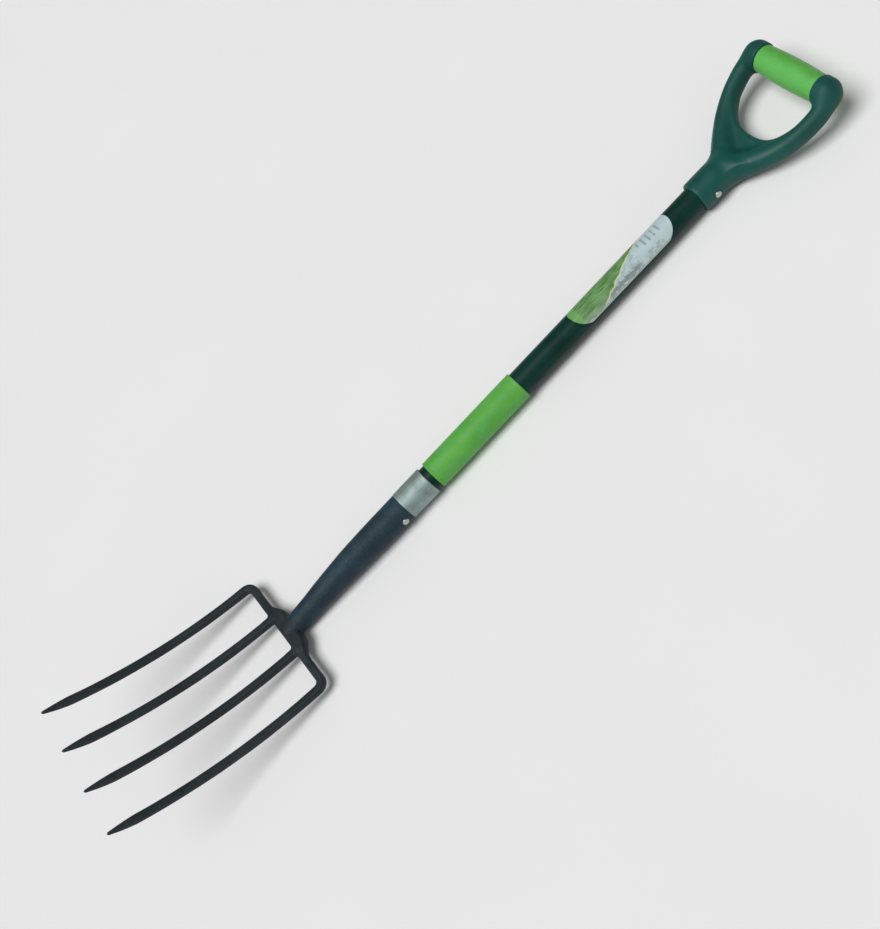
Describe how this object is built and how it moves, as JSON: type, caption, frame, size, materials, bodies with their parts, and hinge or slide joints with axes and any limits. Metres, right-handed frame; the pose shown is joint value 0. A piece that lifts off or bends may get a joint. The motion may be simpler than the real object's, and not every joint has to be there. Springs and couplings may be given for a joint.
{
  "type": "garden fork",
  "caption": "Garden fork with curved tines on a forged crosshead, tapered socket with a steel ferrule, coated tube shaft, soft sleeve and moulded D handle.",
  "frame": {"origin": "middle of the base, on the surface the fork lies on when it rests on its back", "axes": "+X along the shaft towards the D handle, +Z out of the hollow front of the tines, Y across the head"},
  "size_m": [1.0594, 0.1912, 0.1136],
  "materials": {
    "handle_plastic": "moulded, satin",
    "soft_grip": "soft touch, fine grain",
    "rivet_steel": "zinc plated",
    "tube_steel": "bare drawn tube",
    "coat_plastic": "extruded, satin gloss",
    "label_print": "printed film",
    "ferrule_steel": "brushed",
    "head_paint": "hammered enamel, satin"
  },
  "bodies": {
    "root": {"d_handle": "handle_plastic", "d_grip": "soft_grip", "handle_rivet": "rivet_steel", "shaft_tube": "tube_steel", "shaft_coat": "coat_plastic", "label": "label_print", "shaft_sleeve": "soft_grip", "ferrule": "ferrule_steel", "socket_rivet": "rivet_steel", "socket": "head_paint", "crosshead": "head_paint", "outer_tine_left": "head_paint", "inner_tine_left": "head_paint", "inner_tine_right": "head_paint", "outer_tine_right": "head_paint"}
  },
  "joints": []
}
